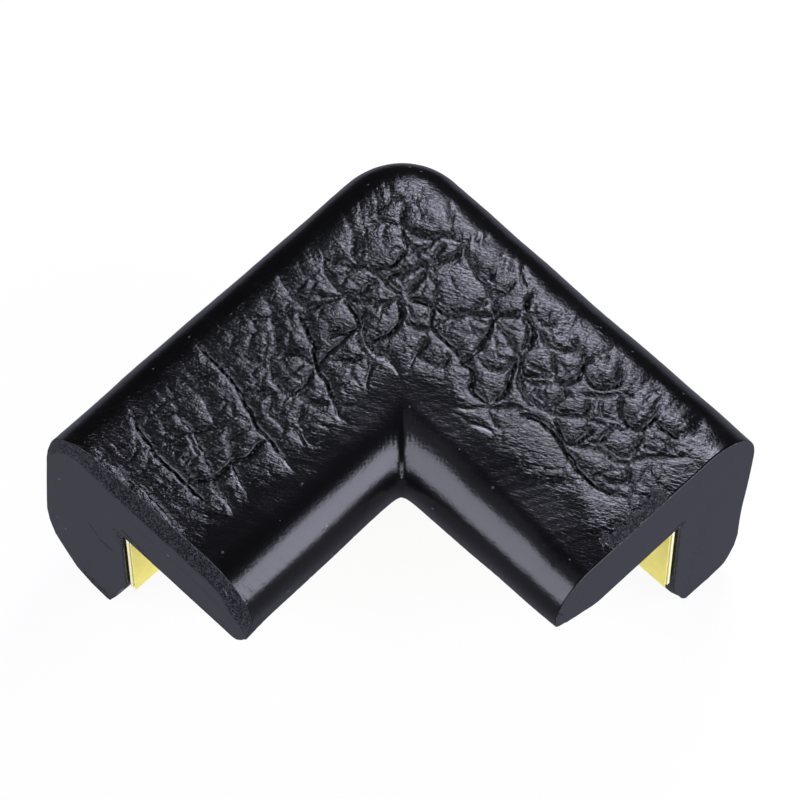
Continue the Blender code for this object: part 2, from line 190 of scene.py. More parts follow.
RIGHT_FOLDS = (
    (DEEP, (14.2, 8.2), (14.4, 6), (15.2, 5.6), (17.4, 5.4), (18.3, 5.4)),
    (FIRM, (14.4, 4.8), (15.6, 4.4), (18.2, 4.2)),
    (FIRM, (14.2, 5), (14.2, 3.8), (15.6, 1.8), (17.4, 0.6), (19.4, 0.3), (21.8, -0.4)),
    (SOFT, (15.4, 4.2), (15.9, 3), (17.2, 0.8)),
    (FIRM, (17.4, 0.6), (19, 2.4), (19.4, 3.3), (18.5, 4.3)),
    (DEEP, (18.4, 5.3), (18.7, 4.5), (21, 4.8), (21.8, 6.8), (23.6, 7.9), (25.8, 8.5)),
    (DEEP, (14.9, 14), (15.6, 12), (15.7, 11), (14.6, 8.8)),
    (SOFT, (15.6, 12), (16.4, 12.9), (16.7, 13.6)),
    (FIRM, (16.2, 12.1), (16.8, 10.8), (17.9, 9.2), (18.1, 8.8)),
    (FIRM, (18.1, 8.8), (20.6, 8.8), (22.6, 8.8)),
    (FIRM, (18.1, 8.8), (18, 6.6), (18.3, 5.6)),
    (FIRM, (16.2, 13.2), (17.4, 12.4), (20.2, 12.1)),
    (FIRM, (20, 12.2), (20.2, 10.2), (21.6, 8.4), (21.8, 6.8)),
    (SOFT, (22, 14), (21.6, 13), (21, 12.5), (19.6, 12.2)),
    (SOFT, (21, 12.6), (21.5, 11.8), (22.8, 11.4)),
    (FIRM, (18.3, 5.3), (17.2, 5.8), (15, 7)),
    (DEEP, (25.8, 8.5), (26.1, 6.2), (25.6, 4), (23.3, 3.9), (21.9, 5.4)),
    (FIRM, (25.8, 4.4), (28.2, 4), (29.6, 4.2), (31, 2.8)),
    (FIRM, (26, 3), (28.2, 2.3), (30.4, 2.2), (31.2, 3.6)),
    (FIRM, (22.1, 4), (22.1, 3), (24.4, 2.8), (26, 2.8)),
    (DEEP, (25.9, 2.8), (25.8, 0.4), (26.8, -1.4), (28.6, -1.8), (29.8, -0.2), (30.2, 1.6), (31, 2.2)),
    (SOFT, (23.8, 2.6), (23.8, 0.4), (24.6, -0.4), (26, -1)),
    (FIRM, (22.1, 2.6), (22, -0.2), (23.4, -1), (24.6, -0.8)),
    (DEEP, (18.2, 0), (18.9, -3), (20.6, -3.6), (22.1, -2), (22, -0.8)),
    (FIRM, (22, -3.4), (23.2, -3.6), (24.5, -2), (26, -1)),
    (DEEP, (14, -0.2), (16.4, -0.9), (18.9, -3.8), (20.6, -6.8), (22.6, -9.2), (25.2, -11)),
    (SOFT, (16.2, -0.4), (17.2, -1.4), (18.3, -2.6)),
    (FIRM, (19.6, -4.1), (22.2, -4.2), (24.4, -5.4), (26.2, -6.3), (28, -5.8), (31, -5.5), (33.4, -5.4)),
    (FIRM, (23.6, -4.2), (26, -5.2), (27.2, -5.4), (28, -3.6), (28.5, -1.9)),
    (SOFT, (24.6, -1.9), (27, -1.8), (28.2, -2)),
    (DEEP, (30, -0.6), (31.8, -2.4), (33.4, -2.6), (35.2, -1.2), (34.2, 1.4)),
    (SOFT, (28.4, -3.6), (29.2, -4.4), (30.8, -5.5)),
    (SOFT, (31.8, -2.6), (32, -4.4), (32.2, -5.3)),
    (FIRM, (26.4, -6.4), (26.4, -8.4), (24.8, -9), (23.8, -8.8)),
    (SOFT, (30.4, 1.2), (32.4, 1.1), (33.6, 1.2)),
    (SOFT, (32.4, -2.8), (34.8, -3.8), (36, -3.6)),
    (FAINT, (28, -5.8), (28.6, -7), (28.4, -8.2)),
    (FAINT, (24, -9.2), (25.6, -9.1), (26.8, -9.8)),
    (FAINT, (16.6, -9), (18, -9.2), (20, -9.3)),
)
LEFT_FOLDS = (
    (DEEP, (-24.4, 10.2), (-22.4, 7.6), (-20.4, 5), (-19, 2.6), (-17.6, 0), (-16, -2.8), (-14.2, -5),
     (-12, -8)),
    (SOFT, (-22.6, 9.6), (-21.8, 8), (-21.2, 6.6), (-20.4, 5.4)),
    (FIRM, (-26.6, 0), (-25, -1.6), (-24, -3.6), (-22.7, -7), (-21.9, -9.4), (-20, -12.6), (-18.8, -13)),
    (SOFT, (-25.4, -2.2), (-24.4, -4.4), (-23.8, -5.6)),
    (DEEP, (-32.4, 2), (-31.4, -0.6), (-30, -3.4), (-28.4, -5.8), (-26.6, -7.8), (-24.8, -9.6),
     (-22.8, -11.4)),
    (SOFT, (-30.2, -2.8), (-27.6, -3.8), (-25.2, -3.8)),
    (FIRM, (-28.4, -2), (-25, -2), (-22.2, -1.6), (-20.4, -1.4)),
    (FIRM, (-20.4, -1.6), (-19.9, -4), (-19.9, -6), (-18.9, -9), (-18, -11), (-16.8, -13)),
    (DEEP, (-16.2, -3), (-18.2, -5.4), (-19.8, -6), (-21.4, -7.6), (-23, -8.4), (-25.2, -8.7)),
    (FAINT, (-26, -7), (-25.2, -6), (-24.2, -5.6)),
    (SOFT, (-21.8, -1.6), (-22.9, 0.6), (-24, 3)),
    (SOFT, (-30, 5.8), (-26.6, 5.7), (-23.6, 5.6), (-22, 5.7)),
    (FIRM, (-15.8, 15.6), (-15.4, 12.8), (-15.1, 10.4), (-14.8, 8.4)),
    (SOFT, (-20.4, 13.6), (-17, 13.4), (-15.8, 13.4), (-13, 14)),
    (FIRM, (-19.4, 3.2), (-17.2, 3.1), (-15, 3.2)),
    (SOFT, (-15.8, 3), (-15.6, 0.4), (-14, -1.4), (-12.8, -1.4)),
    (FIRM, (-12.8, -1.2), (-11.8, -3.4), (-11.2, -4.2)),
    (SOFT, (-12.2, -1), (-11, -3.4), (-9.4, -4), (-8.6, -2)),
    (SOFT, (-12.4, 3.2), (-12, 1), (-12.2, -0.8)),
    (FAINT, (-34, -1.4), (-32.6, -1.4), (-31.4, -1.6)),
    (FAINT, (-16.4, 7.6), (-17.6, 7.2), (-18.8, 7.6)),
    (FIRM, (-34, -5.8), (-32.2, -8.2), (-30, -10), (-28.4, -12), (-26.6, -14.2), (-25, -15.8)),
    (SOFT, (-37, -2.4), (-34.6, -5.4), (-32.8, -8)),
    (FAINT, (-35, -2), (-33.6, -4), (-32.4, -5.6)),
    (SOFT, (-22.8, -14.1), (-20.2, -13.6), (-17, -13.6), (-16, -13.7)),
    (FAINT, (-32.6, -7.6), (-31, -8.2), (-29.6, -8)),
    (FAINT, (-26.6, -12), (-25.4, -12.2), (-24, -12.4)),
    (FAINT, (-28.4, -9.6), (-26.8, -9.6), (-25, -9.6)),
)
FOLD_REACH = 2.2
FOLD_STEP = 0.12
FOLD_WANDER, FOLD_WANDER_SIZE = 0.24, 1.7
FOLD_FADE_LENGTH, FOLD_END_SHARE = 1.4, 0.35
MARK_REACH = 0.6
PILLOW_HEIGHT = 0.36
PILLOW_REACH = 1.1
SKIN_SINK = 0.55 * PILLOW_HEIGHT

# Random cells between the folds: size, depth and width of their furrows, height and reach of their swell,
# and strength of their mark, which also darkens their borders as painted shade
CELL_SIZE, CELL_FURROW, CELL_FURROW_WIDTH = 2.2, 0.09, 0.18
CELL_SWELL, CELL_SWELL_REACH, CELL_MARK = 0.05, 0.4, 0.78
PEBBLE_SIZE, PEBBLE_SWELL, PEBBLE_REACH = 1.05, 0.02, 0.16

# Where the cells and the pebbles come: distance from a fold, and size and limits of the random patches
CELL_ROOM, CELL_PATCH_SIZE, CELL_PATCHES = (0.3, 1.1), 4.0, (-0.6, 0.3)
PEBBLE_PATCH_SIZE, PEBBLE_PATCHES = 3.0, (-0.3, 0.6)

# Long thin wrinkles: their pitch, how much longer they are, their height, their heading and their bend
WRINKLE_PITCH, WRINKLE_STRETCH, WRINKLE_HEIGHT = 0.62, 2.6, 0.02
WRINKLE_HEADING = (0.94, -0.34)
WRINKLE_BEND, WRINKLE_BEND_SIZE = 1.4, 5.0
DRIFT_HEIGHT, DRIFT_SIZE = 0.03, 3.2

# Where the creased skin starts and ends, as distances in from the outer face, and how it fades near the
# right cut
LEATHER_START = (3.9, 5.6)
LEFT_LEATHER_END = (21.4, 27.0)
RIGHT_LEATHER_END = (21.4, 26.2)
LEATHER_LOW = 28.0
RIGHT_END_FADE = (3.6, 0.6)
RIGHT_END_LOSS = 0.8
RAGGED_WIDTH, RAGGED_SIZE = 0.7, 2.5
START_RAGGED, HOLLOW_RAGGED = 0.5, 0.15

# Strips under the right arm: plan outlines (x, y), cut back at the free end, and heights. The liner has a
# torn tab at the inner corner.
RIGHT_TAPE_PLAN = ((-15.05, 15.05), (-15.05, -2.0), (22.0, -2.0), (29.5, 3.6), (29.5, 15.05))
RIGHT_LINER_PLAN = ((-15.05, 15.05), (-15.05, -2.0), (2.6, -2.0), (3.6, -3.4), (4.3, -2.0), (22.0, -2.0),
                    (29.5, 3.6), (29.5, 15.05))
TAPE_HEIGHTS = (22.8, 23.2)
LINER_HEIGHTS = (22.35, 22.5)

# The smooth hollow beside the inner corner: its middle (p, q), half sizes and edge, as shares of them
HOLLOW_MIDDLE = (-0.5, 1.4)
HOLLOW_HALF = (5.5, 3.6)
HOLLOW_EDGE = (0.7, 1.25)

# Skin and torn foam: roughness, heights of grain, crease line and pore, and cells per metre
SMOOTH_ROUGHNESS, LEATHER_ROUGHNESS = 0.21, 0.255
SMOOTH_GRAIN, LEATHER_GRAIN = 0.03, 0.15
CREASE_DEPTH = 0.15
PORE_DEPTH = 0.24
CUT_ROUGHNESS = 0.92
CELL_SCALE = 4000.0
SPECK_SCALE, SPECK_SIZE = 620.0, 0.11
CREASE_EDGE = (0.66, 0.93)
FOAM_IOR = 1.45

# Colours in linear light: the foam's, then a dark and a light one for the liner and for the tape
# The crease colour is painted shade: the skin is darkened along its crease lines.
SKIN, CREASE_SHADE, SKIN_SPECK = (0.0016, 0.0016, 0.0019, 1), (0.001, 0.001, 0.0012, 1), (0.05, 0.05, 0.055, 1)
FACE, FACE_SPECK, FACE_DARK = (0.020, 0.020, 0.023, 1), (0.11, 0.11, 0.12, 1), (0.010, 0.010, 0.012, 1)
FACE_LIGHT, FRINGE = (0.07, 0.07, 0.08, 1), (0.25, 0.25, 0.27, 1)
# The pit colour is painted shade in the deepest part of the open pores.
TORN, TORN_LIGHT, PIT_SHADE = (0.022, 0.022, 0.026, 1), (0.07, 0.07, 0.076, 1), (0.0005, 0.0005, 0.0006, 1)
# The crack colour is painted shade: the cracks are darkened in colour, with no depth of their own.
CRACK_SHADE, SCRATCH = (0.0015, 0.0015, 0.0018, 1), (0.22, 0.22, 0.24, 1)
LINER_COLOURS = (0.72, 0.645, 0.136, 1), (0.77, 0.70, 0.163, 1)
TAPE_COLOURS = (0.72, 0.68, 0.33, 1), (0.76, 0.72, 0.42, 1)
LINER_ROUGHNESS, TAPE_ROUGHNESS = 0.5, 0.6

# Marks on the foam: start, end (x, y, z), half width, raggedness
# The cracks are drawn in colour only, as painted shade.
CRACKS = (
    ((-21.0, -30.6, 15.1), (-18.9, -30.6, 15.4), 0.24, 1.6),
    ((-23.0, -30.6, 17.2), (-21.6, -30.6, 16.0), 0.17, 1.6),
    ((1.5, -30.0, 31.2), (3.3, -30.4, 30.2), 0.22, 1.0),
    ((30, -4.8, 31.4), (30, -3.4, 28.8), 0.1, 2.6),
    ((4.0, -4.0, 31.6), (4.6, -4.6, 24.0), 0.12, 1.0),
)
TORN_SPOTS = (
    ((-17.6, -30.6, 22.0), (-16.6, -30.6, 18.2), 0.7, 3.2),
    ((-16.2, -30.6, 23.6), (-12.6, -30.6, 23.4), 0.55, 3.0),
    ((-24.4, -30.6, 0.6), (-17.5, -30.6, 0.4), 1.0, 3.4),
    ((-15.8, -30.6, 22.4), (2.6, -30.6, 22.6), 0.35, 3.4),
    ((30, 14.4, 22.8), (30, 17.3, 23.6), 0.9, 2.2),
)
SCRATCHES = (
    ((11.2, 2.6, 33.6), (12.4, 1.9, 33.2), 0.07, 0.8),
    ((10.9, 2.0, 33.4), (12.0, 1.3, 33.0), 0.05, 0.8),
    ((13.6, 2.7, 33.6), (14.0, 2.3, 33.4), 0.05, 0.8),
    ((4.3, -4.3, 31.0), (4.6, -4.6, 24.4), 0.1, 2.4),
    ((0.6, -30.0, 31.9), (3.6, -30.4, 29.8), 0.12, 2.8),
)
ROUGHENED = (
    ((30, 22.6, 20.3), (30, 19.0, 1.6), 0.8, 3.0),
    ((30, 16.6, 20.0), (30, 17.6, 2.0), 0.35, 2.0),
)

# Camera
CAMERA_AZIMUTH = math.radians(45)
CAMERA_ELEVATION = math.radians(61.2)
CAMERA_DISTANCE = 560.0
CAMERA_AIM = (0.0, 0.0, 28.0)
AIM_SHIFT = (-0.2, 4.8)
CAMERA_LENS = 211.2

# Lamps: heading (p, q, z), distance in metres, width and height in metres, radiance
LAMPS = {
    "far_lamp": ((0.24, 0.645, 0.715), 0.18, 0.088, 0.074, 13.5),
    "right_lamp": ((0.82, -0.30, 0.40), 0.6, 0.40, 0.50, 6.5),
    "left_lamp": ((-0.82, -0.30, 0.46), 0.6, 0.40, 0.58, 5.0),
    "upper_lamp": ((-0.45, 0.15, 0.88), 0.6, 0.4, 0.3, 0.35),
    "front_lamp": ((0.0, -0.95, 0.35), 0.7, 0.6, 0.3, 4.0),
}
LAMP_COLOUR = (0.95, 0.95, 1.16)
ROOM_LIGHT = 0.022

# Floor: plan corners (p, q), height, and how bright the camera and sheens see it
FLOOR_PLAN = ((-240, -240), (240, -240), (72, 98), (-72, 98))
FLOOR_HEIGHT = -1.0
FLOOR_WHITE = 0.92
FLOOR_SHEEN = 0.27


def smoothstep(x, low, high):
    """0 below low, 1 above high, and a cubic ease between."""
    t = np.clip((x - low) / (high - low), 0, 1)
    return t * t * (3 - 2 * t)


def lattice_noise(x, y, cell, seed):
    """Value noise from -1 to 1: random values on a square lattice, eased between its points."""
    values = np.random.RandomState(seed).uniform(-1, 1, (256, 256))
    gx, gy = x / cell + 100, y / cell + 100
    ix, iy = np.floor(gx).astype(int), np.floor(gy).astype(int)
    fx, fy = gx - ix, gy - iy
    fx, fy = fx * fx * (3 - 2 * fx), fy * fy * (3 - 2 * fy)
    a = values[ix % 256, iy % 256] * (1 - fx) + values[(ix + 1) % 256, iy % 256] * fx
    b = values[ix % 256, (iy + 1) % 256] * (1 - fx) + values[(ix + 1) % 256, (iy + 1) % 256] * fx
    return a * (1 - fy) + b * fy


def fractal_noise(x, y, cell, seed, octaves):
    """Sum of lattice noises, each at half the size and half the height of the last."""
    total = 0
    for octave in range(octaves):
        total = total + lattice_noise(x, y, cell / 2**octave, seed + octave) / 2**octave
    return total


def smooth_curve(points, step):
    """Points about one step apart on a cubic curve through the given points.

    At each point the curve runs parallel to the line between that point's two neighbours.
    """
    given = np.array(points, float)
    ends = np.vstack([2 * given[0] - given[1], given, 2 * given[-1] - given[-2]])
    pieces = []
    for a, b, c, d in zip(ends[:-3], ends[1:-2], ends[2:-1], ends[3:]):
        count = max(2, int(np.linalg.norm(c - b) / step))
        t = (np.arange(count) / count)[:, None]
        pieces.append(
            0.5 * (2 * b + (c - a) * t + (2 * a - 5 * b + 4 * c - d) * t**2 + (3 * b - a - 3 * c + d) * t**3)
        )
    return np.vstack(pieces + [given[-1:]])


def cell_borders(x, y, cell, seed):
    """Distance to the nearest border between random cells: half the gap between the two nearest seeds."""
    seeds = np.random.RandomState(seed).uniform(0, 1, (256, 256, 2))
    gx, gy = x / cell + 100, y / cell + 100
    ix, iy = np.floor(gx).astype(int), np.floor(gy).astype(int)
    first, second = np.full(x.shape, 9.0), np.full(x.shape, 9.0)
    for di in (-1, 0, 1):
        for dj in (-1, 0, 1):
            spot = seeds[(ix + di) % 256, (iy + dj) % 256]
            gap = np.hypot(ix + di + spot[..., 0] - gx, iy + dj + spot[..., 1] - gy)
            second = np.minimum(second, np.maximum(first, gap))
            first = np.minimum(first, gap)
    return (second - first) / 2 * cell


def crease_maps():
    """Height of the creased skin over the plan, and the mark of the crease lines, from 0 to 1.

    Each fold cuts a furrow whose depth falls off with distance as a bell curve, and leaves a mark that
    falls off evenly; the material grooves the bump along the mark and darkens the colour there as painted
    shade. Between folds the skin swells into a pillow that rises as one minus the exponential of the distance
    to the nearest fold. Where the folds are far apart a network of small random cells adds shallower furrows.
    Long thin wrinkles run over all of it.
    """
    p_line = np.arange(PLAN_P[0], PLAN_P[1], PLAN_STEP)
    q_line = np.arange(PLAN_Q[0], PLAN_Q[1], PLAN_STEP)
    p, q = np.meshgrid(p_line, q_line, indexing="ij")
    warped_p = p + FOLD_WANDER * fractal_noise(p, q, FOLD_WANDER_SIZE, seed=11, octaves=3)
    warped_q = q + FOLD_WANDER * fractal_noise(p, q, FOLD_WANDER_SIZE, seed=31, octaves=3)
    distance = np.full(p.shape, FOLD_REACH * 2)
    furrow = np.zeros(p.shape)
    mark = np.zeros(p.shape)
    reach = int(FOLD_REACH / PLAN_STEP) + 3
    for (depth, width), *points in CENTRE_FOLDS + RIGHT_FOLDS + LEFT_FOLDS:
        curve = smooth_curve(points, FOLD_STEP)
        place = np.linspace(0, 1, len(curve))
        to_tip = np.minimum(place, 1 - place) * len(curve) * FOLD_STEP
        ease = np.minimum(1, to_tip / FOLD_FADE_LENGTH + FOLD_END_SHARE)
        strength = depth / DEEP[0]
        for (cp, cq), part in zip(curve, ease):
            i = int((cp - PLAN_P[0]) / PLAN_STEP)
            j = int((cq - PLAN_Q[0]) / PLAN_STEP)
            window = (slice(max(i - reach, 0), i + reach), slice(max(j - reach, 0), j + reach))
            d = np.hypot(warped_p[window] - cp, warped_q[window] - cq)
            weakness = 1 - part * strength**0.5
            distance[window] = np.minimum(distance[window], d + PILLOW_REACH * weakness)
            furrow[window] = np.maximum(furrow[window], part * depth * np.exp(-((d / width) ** 2)))
            faded = part * (0.5 + 0.5 * strength) * np.clip(1 - d / MARK_REACH, 0, 1)
            mark[window] = np.maximum(mark[window], faded)

    room = smoothstep(distance, *CELL_ROOM)
    room = room * smoothstep(fractal_noise(p, q, CELL_PATCH_SIZE, seed=211, octaves=2), *CELL_PATCHES)
    borders = cell_borders(warped_p, warped_q, CELL_SIZE, seed=201)
    furrow = np.maximum(furrow, CELL_FURROW * room * np.exp(-((borders / CELL_FURROW_WIDTH) ** 2)))
    mark = np.maximum(mark, CELL_MARK * room**0.5 * np.clip(1 - borders / MARK_REACH, 0, 1))
    small = cell_borders(warped_p, warped_q, PEBBLE_SIZE, seed=231)
    patches = smoothstep(fractal_noise(p, q, PEBBLE_PATCH_SIZE, seed=241, octaves=2), *PEBBLE_PATCHES)

    run = WRINKLE_HEADING[0] * p + WRINKLE_HEADING[1] * q
    across = WRINKLE_HEADING[0] * q - WRINKLE_HEADING[1] * p
    across = across + WRINKLE_BEND * lattice_noise(p, q, WRINKLE_BEND_SIZE, seed=301)
    wrinkles = fractal_noise(run / WRINKLE_STRETCH, across, WRINKLE_PITCH, seed=311, octaves=2)
    height = PILLOW_HEIGHT * (1 - np.exp(-distance / PILLOW_REACH)) - furrow
    height += CELL_SWELL * room * (1 - np.exp(-borders / CELL_SWELL_REACH))
    height += PEBBLE_SWELL * patches * (1 - np.exp(-small / PEBBLE_REACH)) + WRINKLE_HEIGHT * wrinkles
    height += DRIFT_HEIGHT * fractal_noise(p, q, DRIFT_SIZE, seed=71, octaves=2)
    return height - SKIN_SINK, np.clip(mark, 0, 1)


def sample_map(values, p, q):
    """Bilinear sample of a plan map."""
    gp = np.clip((p - PLAN_P[0]) / PLAN_STEP, 0, values.shape[0] - 2)
    gq = np.clip((q - PLAN_Q[0]) / PLAN_STEP, 0, values.shape[1] - 2)
    i, j = gp.astype(int), gq.astype(int)
    fp, fq = gp - i, gq - j
    a = values[i, j] * (1 - fp) + values[i + 1, j] * fp
    b = values[i, j + 1] * (1 - fp) + values[i + 1, j + 1] * fp
    return a * (1 - fq) + b * fq


def rounded_section(corners):
    """Closed outline through the corners, with an arc at each and even points on each side between."""
    spots = np.array([c[:2] for c in corners], float)
    arcs = []
    for index, ((_, _, radius), (arc_points, _)) in enumerate(zip(corners, SECTION_COUNTS)):
        here = spots[index]
        back = spots[index - 1] - here
        ahead = spots[(index + 1) % len(spots)] - here
        back, ahead = back / np.linalg.norm(back), ahead / np.linalg.norm(ahead)
        half = math.acos(np.clip(back @ ahead, -1, 1)) / 2
        middle = (back + ahead) / np.linalg.norm(back + ahead)
        centre = here + middle * radius / math.sin(half)
        first = here + back * radius / math.tan(half) - centre
        last = here + ahead * radius / math.tan(half) - centre
        turn = math.pi - 2 * half
        t = np.linspace(0, 1, arc_points)[:, None]
        arcs.append(centre + (np.sin((1 - t) * turn) * first + np.sin(t * turn) * last) / math.sin(turn))
    outline = []
    for index, (_, side_points) in enumerate(SECTION_COUNTS):
        outline.append(arcs[index])
        start, end = arcs[index][-1], arcs[(index + 1) % len(arcs)][0]
        t = (np.arange(1, side_points + 1) / (side_points + 1))[:, None]
        side = start + (end - start) * t
        if index == 0:
            side[:, 1] += TOP_BULGE * np.sin(math.pi * t[:, 0]) ** 2
        outline.append(side)
    return np.vstack(outline)


def swept_place(u, z, along, right):
    """Points in the row frame, from the distance in, the height and the path length from the diagonal.

    Beyond the corner's radius the path is the outer face's arc, moved in. Inside it the two arms meet in
    a mitre that a square root eases into a small fillet.
    """
    sign = np.where(right, 1.0, -1.0)
    inner = np.maximum(CORNER_RADIUS - u, 0)
    arc = inner * math.pi / 4
    angle = np.where(inner > 0, along / np.maximum(inner, 1e-6), 0)
    on_arc = (along < arc) & (inner > 0)
    fillet = INNER_FILLET * smoothstep(u, *FILLET_INSET)
    straight = np.where(inner > 0, CORNER_RADIUS + along - arc, u + along)
    eased = u + 0.5 * (along + np.sqrt(along**2 + fillet**2))
    a = np.where(inner > 0, straight, eased)
    b = np.where(inner > 0, u, u + 0.5 * (np.sqrt(along**2 + fillet**2) - along))
    turn = math.pi / 4 - angle
    a = np.where(on_arc, CORNER_RADIUS - inner * np.sin(turn), a)
    b = np.where(on_arc, CORNER_RADIUS - inner * np.cos(turn), b)
    x = np.where(sign > 0, a, b) - HALF_ARM
    y = HALF_ARM - np.where(sign > 0, b, a)
    return np.stack([x, y, z], -1)


def cap_rings(loop, inner_loop, outward, bevel, length_shift, seed):
    """Rings that close a cut end: first down the bevel, then in over the flat face.

    Each ring is the section's outline moved towards the middle of the foam. On the bevel it moves by the
    same length all round, with a random roughness, and on the face by a share of the way that is left.
    """
    chance = np.random.RandomState(seed)
    reach = inner_loop - loop
    heading = reach / np.linalg.norm(reach, axis=1, keepdims=True)
    broken = np.clip(bevel / BEVEL_WIDTH, 0, 1)[:, None]
    rings = []
    for step in range(1, BEVEL_RINGS + 1):
        t = step / BEVEL_RINGS
        rough = broken * math.sin(math.pi * t) ** 0.5 * chance.uniform(*BEVEL_ROUGHNESS, (len(loop), 1))
        inward = heading * ((RIM_INSET + bevel[:, None]) * t - rough)
        rings.append(loop + inward + outward * (length_shift[:, None] * t + rough))
    edge = rings[-1]
    for step in FACE_STEPS:
        rings.append(edge + (inner_loop + outward * length_shift[:, None] - edge) * step)
    return rings


def middle_of_foam(section):
    """For each point of the section, the nearest point on the line down the middle of the flange and leg."""
    u, z = section[:, 0], section[:, 1]
    flange_u, flange_z = np.clip(u, LEG_MIDDLE, FLANGE_REACH), np.full(len(u), FLANGE_MIDDLE)
    leg_u, leg_z = np.full(len(u), LEG_MIDDLE), np.clip(z, LEG_FOOT, FLANGE_MIDDLE)
    nearer_leg = np.hypot(u - leg_u, z - leg_z) < np.hypot(u - flange_u, z - flange_z)
    return np.stack([np.where(nearer_leg, leg_u, flange_u), np.where(nearer_leg, leg_z, flange_z)], -1)


def make_object(name, points, faces, material, layers=None, sharp=None):
    """Mesh object from points in millimetres, with a float attribute for each layer."""
    mesh = bpy.data.meshes.new(name)
    mesh.from_pydata((points * MM).tolist(), [], faces)
    for layer, values in (layers or {}).items():
        attribute = mesh.attributes.new(layer, "FLOAT", "POINT")
        attribute.data.foreach_set("value", values.astype(np.float32))
    mesh.polygons.foreach_set("use_smooth", np.ones(len(mesh.polygons), bool))
    if sharp is not None:
        mesh.set_sharp_from_angle(angle=math.radians(sharp))
    mesh.materials.append(material)
    mesh.update()
    piece = bpy.data.objects.new(name, mesh)
    bpy.context.scene.collection.objects.link(piece)
    return piece


def grid_normals(points):
    """Outward normals of a grid whose rows close on themselves, from the cross product of its two steps."""
    down = np.roll(points, -1, 0) - np.roll(points, 1, 0)
    along = np.gradient(points, axis=1)
    normal = np.cross(down, along)
    return normal / np.maximum(np.linalg.norm(normal, axis=-1, keepdims=True), 1e-9)


def sections_along(mid, left, right, share):
    """Distances in and heights of the grid: the middle section blended into the one at each cut end.

    The blend is the square of the share of the way to the end. The flange's underside stays level and
    drops in the last bit of the way only.
    """
    end = np.where((share >= 0)[:, None, None], right, left)
    under = (mid[:, 0] > UNDERSIDE_START) & (mid[:, 1] < UNDERSIDE_TOP)
    lip = smoothstep(np.abs(share[:, None]) * RIGHT_LENGTH, RIGHT_LENGTH - LIP_LENGTH, RIGHT_LENGTH)
    blend = np.where(under, lip, share[:, None] ** 2)
    section = mid + (end - mid) * blend[..., None]
    return section[..., 0].T, section[..., 1].T


def leather_mask(u, z, p, q, to_end, on_right):
    """How much of the creased skin there is, from 0 to 1.

    It starts and ends at distances in from the outer face that a noise makes ragged, leaves out an
    elliptic hollow at the inner corner, and fades towards the right cut.
    """
    end_low, end_high = np.where(on_right[:, None], RIGHT_LEATHER_END, LEFT_LEATHER_END).T
    ragged = RAGGED_WIDTH * fractal_noise(p, q, RAGGED_SIZE, seed=91, octaves=3)
    mask = smoothstep(u + START_RAGGED * ragged, *LEATHER_START)
    mask *= 1 - smoothstep(u + ragged, end_low, end_high)
    hollow = np.hypot((p - HOLLOW_MIDDLE[0]) / HOLLOW_HALF[0], (q - HOLLOW_MIDDLE[1]) / HOLLOW_HALF[1])
    mask *= smoothstep(hollow + HOLLOW_RAGGED * ragged, *HOLLOW_EDGE) * (z > LEATHER_LOW)
    return mask * (1 - on_right * RIGHT_END_LOSS * smoothstep(to_end + ragged, *RIGHT_END_FADE))


def torn_patch(p, q, z):
    """The torn patch on top of the right arm's end: a mask round a line, with a noisy edge."""
    line = np.array(PATCH_END) - PATCH_START
    from_p, from_q = p - PATCH_START[0], q - PATCH_START[1]
    t = np.clip((from_p * line[0] + from_q * line[1]) / (line @ line), 0, 1)
    gap = np.hypot(from_p - t * line[0], from_q - t * line[1])
    noise = PATCH_RAGGED * fractal_noise(p, q, PATCH_RAGGED_SIZE, seed=191, octaves=3)
    return smoothstep(PATCH_HALF_WIDTH - gap + noise, *PATCH_EDGE) * (z > PATCH_LOW)


def close_cut(loop, numbers, next_number, section, bevel, shift, outward):
    """Points, layers and faces that close a cut end, from its outline in to the middle of the foam.

    The outline's points have the given numbers, and the new points are numbered from the next one on.
    The cut and pores layers say where the skin ends and where the foam is torn.
    """
    on_left = outward[1] < 0
    middle_u, middle_z = middle_of_foam(section).T
    if on_left:
        target = np.stack([middle_u - HALF_ARM, loop[:, 1], middle_z], -1)
    else:
        target = np.stack([loop[:, 0], HALF_ARM - middle_u, middle_z], -1)
    rings = cap_rings(loop, target, outward, bevel, shift, seed=7)
    steps = np.repeat(np.arange(len(rings)), len(loop))
    broken = np.tile(np.clip(bevel / BEVEL_WIDTH, 0, 1), len(rings))
    nothing = np.zeros(len(steps))
    cut = nothing + 1 if on_left else np.minimum((steps + 1) / BEVEL_RINGS, 1.0)
    layers = {"leather": nothing, "mark": nothing, "cut": cut, "pores": broken * (steps < BEVEL_RINGS - 1)}
    faces = []
    for step in range(len(rings)):
        here = next_number + step * len(loop) + np.arange(len(loop))
        a, b, c, d = numbers, np.roll(numbers, -1), here, np.roll(here, -1)
        faces += np.stack([a, c, d, b] if on_left else [a, b, d, c], -1).tolist()
        numbers = here
    faces.append(numbers.tolist()[::-1] if on_left else numbers.tolist())
    return rings, layers, faces


